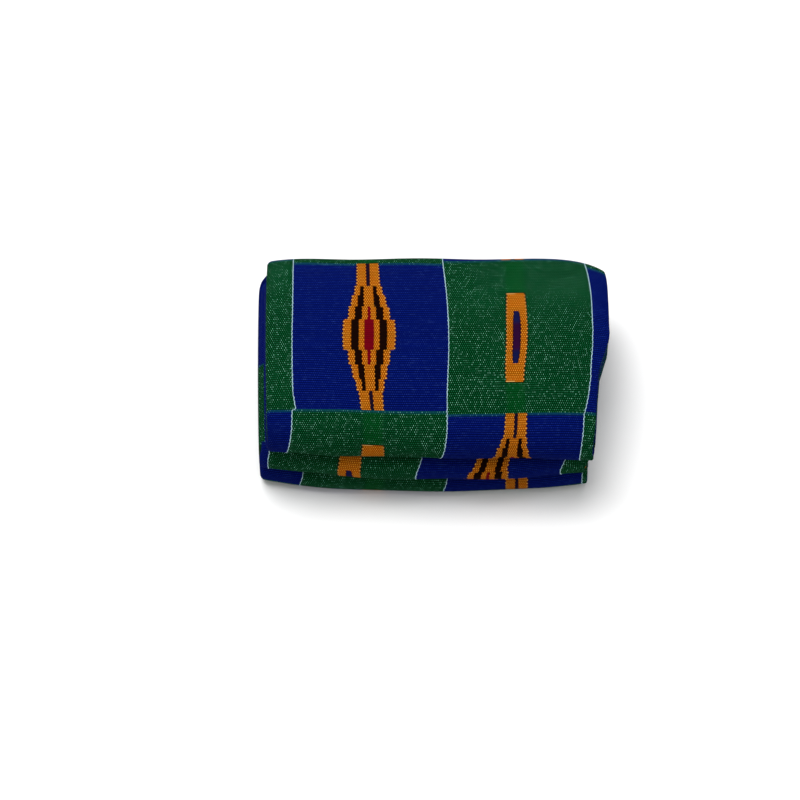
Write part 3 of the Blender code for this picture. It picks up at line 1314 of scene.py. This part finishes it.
@dataclass
class SeamStitches:
    """The slanted stitches that join the strips, along the seams that show."""

    cloth: FoldedCloth
    pitch: float = 0.00153
    length: float = 0.00180
    width: float = 0.00056
    height: float = 0.00055
    fullness: float = 0.7
    slant: float = 0.26
    zigzag: float = 0.00005
    slant_jitter: float = 0.08
    side_jitter: float = 0.00005
    size_jitter: float = 0.10
    lowest: float = 0.0015
    seams: tuple[int, ...] = (16, 17, 18)
    shown_turns: tuple[tuple[int, int], ...] = ((0, 0), (2, 2), (4, 5), (7, 7), (9, 9))
    sides: int = 6
    rings: int = 4

    def build(self) -> bpy.types.Object:
        """Build every stitch in one mesh, and dress it.

        Returns:
            The stitches.
        """
        vertices: list[np.ndarray] = []
        faces: list[np.ndarray] = []
        unit, unit_faces = self._bead()
        for seam in self.seams:
            for first, last in self.shown_turns:
                for frame, centre in self._places(seam, first, last):
                    faces.append(unit_faces + len(vertices) * len(unit))
                    vertices.append(unit @ frame + centre)
        made = new_object("seam_stitches", np.concatenate(vertices), np.concatenate(faces))
        made.data.materials.append(StitchThread().material())
        LOG.info("stitches: %d", len(vertices))
        return made

    def _bead(self) -> tuple[np.ndarray, np.ndarray]:
        """Shape a stitch, along X with its width along Y.

        Returns:
            Its vertices and its triangles.
        """
        bend = np.pi * np.arange(1, self.rings) / self.rings
        turn = 2 * np.pi * np.arange(self.sides) / self.sides
        ring_x = np.repeat(-np.cos(bend), self.sides)
        radius = np.repeat(np.sin(bend) ** self.fullness, self.sides)
        around = np.tile(turn, self.rings - 1)
        ball = np.stack([ring_x, radius * np.cos(around), radius * np.sin(around)], 1)
        ball = np.concatenate([[[-1.0, 0.0, 0.0]], ball, [[1.0, 0.0, 0.0]]])
        triangles: list[tuple[int, int, int]] = []
        last = len(ball) - 1
        for side in range(self.sides):
            after = (side + 1) % self.sides
            triangles.append((0, 1 + after, 1 + side))
            for ring in range(self.rings - 2):
                low = 1 + ring * self.sides
                high = low + self.sides
                triangles.append((low + side, low + after, high + after))
                triangles.append((low + side, high + after, high + side))
            low = last - self.sides
            triangles.append((low + side, low + after, last))
        sizes = np.array([self.length, self.width, self.height]) / 2
        return ball * sizes, np.array(triangles)

    def _seam_line(self, seam: int, first: int, last: int) -> tuple[np.ndarray, np.ndarray]:
        """Follow a seam over the settled cloth.

        Args:
            seam: The strip number at the seam.
            first: The turn at which the shown stretch starts.
            last: The turn at which it ends.

        Returns:
            The seam's points, and the way across the cloth at each, one row each.
        """
        cloth = self.cloth
        turns = cloth.rows.turn
        start = int(np.argmax(turns == first)) - 1
        stop = len(turns) - int(np.argmax(turns[::-1] == last)) + 1
        columns = np.arange(cloth.strip.shape[1])
        points: list[np.ndarray] = []
        sideways: list[np.ndarray] = []
        for row in range(start, stop):
            column = float(np.interp(seam, cloth.strip[row], columns))
            left = int(column)
            share = column - left
            here = cloth.outer[row, left]
            beside = cloth.outer[row, left + 1]
            points.append(here * (1 - share) + beside * share)
            sideways.append(beside - here)
        return np.array(points) - cloth.middle, np.array(sideways)

    def _places(self, seam: int, first: int, last: int) -> list[tuple[np.ndarray, np.ndarray]]:
        """Place the stitches of a seam, from one turn to another.

        Args:
            seam: The strip number at the seam.
            first: The turn at which the shown stretch starts.
            last: The turn at which it ends.

        Returns:
            For each stitch its three axes as rows, and its centre.
        """
        line, sideways = self._seam_line(seam, first, last)
        reached = running_total(np.linalg.norm(np.diff(line, axis=0), axis=1))
        chaos = np.random.default_rng(seam * 10 + first)
        placed: list[tuple[np.ndarray, np.ndarray]] = []
        for number, centre in enumerate(np.arange(self.pitch / 2, reached[-1], self.pitch)):
            lean_chance, size_chance, side_chance = chaos.normal(size=3)
            ahead = read_table(centre + MM, reached, line) - read_table(centre - MM, reached, line)
            along = ahead / np.linalg.norm(ahead)
            beside = read_table(centre, reached, sideways)
            beside = beside - along * (beside @ along)
            beside = beside / np.linalg.norm(beside)
            swing = 1 if number % 2 else -1
            lean = self.slant * swing + self.slant_jitter * lean_chance
            axis = along * math.cos(lean) + beside * math.sin(lean)
            width_axis = beside * math.cos(lean) - along * math.sin(lean)
            size = 1 + self.size_jitter * float(np.clip(size_chance, -2, 2))
            at = read_table(centre, reached, line)
            at = at + beside * (self.zigzag * swing + self.side_jitter * side_chance)
            if at[2] > self.lowest:
                placed.append((np.stack([axis, width_axis, np.cross(beside, along)]) * size, at))
        return placed


# The room


class SoftLight(NamedTuple):
    """A soft square light that faces the bundle."""

    name: str
    energy: float
    size: float
    place: Triple

    def build(self) -> None:
        """Add the light."""
        lamp = bpy.data.lights.new(self.name, "AREA")
        lamp.energy = self.energy
        lamp.size = self.size
        made = bpy.data.objects.new(self.name, lamp)
        made.location = self.place
        made.rotation_euler = (-Vector(self.place)).to_track_quat("-Z", "Y").to_euler()
        bpy.context.scene.collection.objects.link(made)


@dataclass
class Studio:
    """A plain pale floor, soft light, and the camera."""

    floor_size: float = 6.0
    floor_drop: float = 0.0002
    lights: tuple[SoftLight, ...] = (
        SoftLight("key", 34.0, 1.2, (-0.35, 0.35, 1.60)),
        SoftLight("fill", 6.0, 1.6, (0.9, -0.7, 1.3)),
    )
    sky: Colour = colour(1.0, 1.0, 1.0)
    sky_strength: float = 0.42
    aim: Triple = (-0.0204, -0.0345, 0.06)
    elevation: float = 60.0
    distance: float = 1.10
    lens: float = 77.7
    clip_start: float = 0.05

    def build(self) -> bpy.types.Object:
        """Build the floor, the lights and the camera.

        Returns:
            The floor.
        """
        half = self.floor_size / 2
        square = ((-half, -half), (half, -half), (half, half), (-half, half))
        corners = np.array([(x, y, -self.floor_drop) for x, y in square])
        floor = new_object("floor", corners, np.array([[0, 1, 2, 3]]))
        floor.data.materials.append(PaleFloor().material())
        for light in self.lights:
            light.build()
        self._sky()
        self._camera()
        return floor

    def _sky(self) -> None:
        """Set the even light from all round."""
        world = bpy.data.worlds.new("soft room")
        world.use_nodes = True
        background = world.node_tree.nodes["Background"]
        background.inputs["Color"].default_value = self.sky
        background.inputs["Strength"].default_value = self.sky_strength
        bpy.context.scene.world = world

    def _camera(self) -> None:
        """Set the camera, which looks down on the bundle from the front."""
        data = bpy.data.cameras.new("camera")
        data.lens = self.lens
        data.clip_start = self.clip_start
        made = bpy.data.objects.new("camera", data)
        tilt = math.radians(self.elevation)
        away = Vector((0.0, -math.cos(tilt), math.sin(tilt))) * self.distance
        made.location = Vector(self.aim) + away
        made.rotation_euler = (math.pi / 2 - tilt, 0.0, 0.0)
        bpy.context.scene.collection.objects.link(made)
        bpy.context.scene.camera = made
        bpy.context.scene.view_settings.view_transform = "Standard"


# Shared work


def new_object(name: str, vertices: np.ndarray, faces: np.ndarray) -> bpy.types.Object:
    """Link a new object with a smooth mesh.

    Args:
        name: The object's name.
        vertices: One row of three numbers for each vertex.
        faces: One row of vertex numbers for each face.

    Returns:
        The object.
    """
    mesh = bpy.data.meshes.new(name)
    mesh.from_pydata(vertices.tolist(), [], faces.tolist())
    mesh.shade_smooth()
    made = bpy.data.objects.new(name, mesh)
    bpy.context.scene.collection.objects.link(made)
    return made


def grid_faces(grid: np.ndarray) -> np.ndarray:
    """Return the faces between the vertices of a grid, as rows of four vertex numbers."""
    corners = (grid[:-1, :-1], grid[:-1, 1:], grid[1:, 1:], grid[1:, :-1])
    return np.stack(corners, -1).reshape(-1, 4)


def rim_of(grid: np.ndarray) -> np.ndarray:
    """Return the vertex numbers round the edge of a grid, in order."""
    return np.concatenate([grid[0, :-1], grid[:-1, -1], grid[-1, :0:-1], grid[:0:-1, 0]])


def running_total(steps: np.ndarray) -> np.ndarray:
    """Return the total before each step and after the last, from 0."""
    return np.concatenate([[0.0], np.cumsum(steps)])


def read_table(places: np.ndarray | float, known: np.ndarray, columns: np.ndarray) -> np.ndarray:
    """Return a table's columns at these places, between the rows at the known places."""
    return np.stack([np.interp(places, known, column) for column in columns.T], -1)


def main() -> None:
    """Build the scene: the cloth, its stitches, the studio."""
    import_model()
    cloth = FoldedCloth()
    sheet = cloth.build()
    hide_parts(NODE)
    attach(sheet, BODY)

    stitches = SeamStitches(cloth).build()
    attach(stitches, BODY)

    floor = Studio().build()
    LOG.info("scene built")


if __name__ == "__main__":
    logging.basicConfig(level=logging.INFO, format="%(name)s: %(message)s")
    main()
